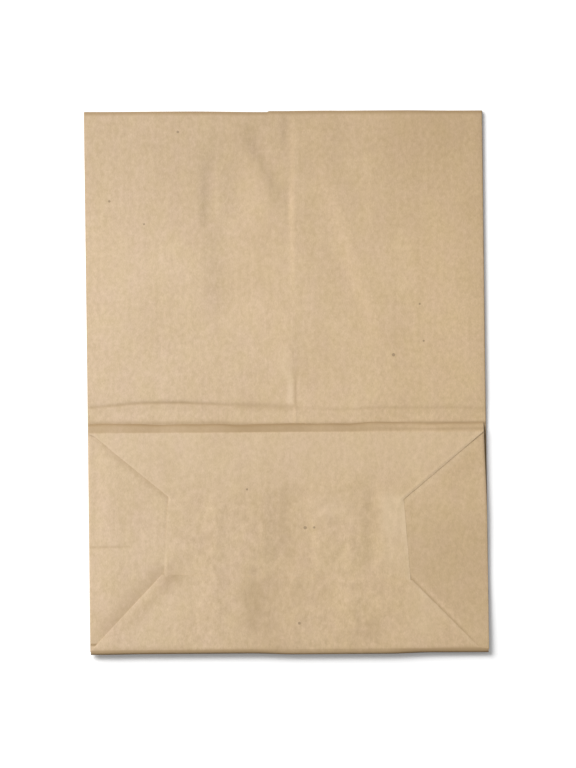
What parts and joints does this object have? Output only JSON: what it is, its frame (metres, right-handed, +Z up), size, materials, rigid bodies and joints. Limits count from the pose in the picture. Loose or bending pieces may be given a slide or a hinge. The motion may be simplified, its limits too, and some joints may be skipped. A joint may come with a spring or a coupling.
{
  "type": "paper grocery bag",
  "caption": "Flat-folded brown kraft paper bag with side gussets and a square bottom that lies folded up against its front; it opens to carry groceries.",
  "frame": {"origin": "on the surface that the folded bag lies on, under the middle of its outline", "axes": "+X across the bag, +Y from the bottom fold to the mouth, +Z up through the folded layers"},
  "size_m": [0.3048, 0.4318, 0.005],
  "materials": {
    "kraft_paper": "uncoated brown kraft paper, matt, with fine fibres and faint machine streaks"
  },
  "bodies": {
    "root": {"paper_bag": "kraft_paper"}
  },
  "joints": []
}
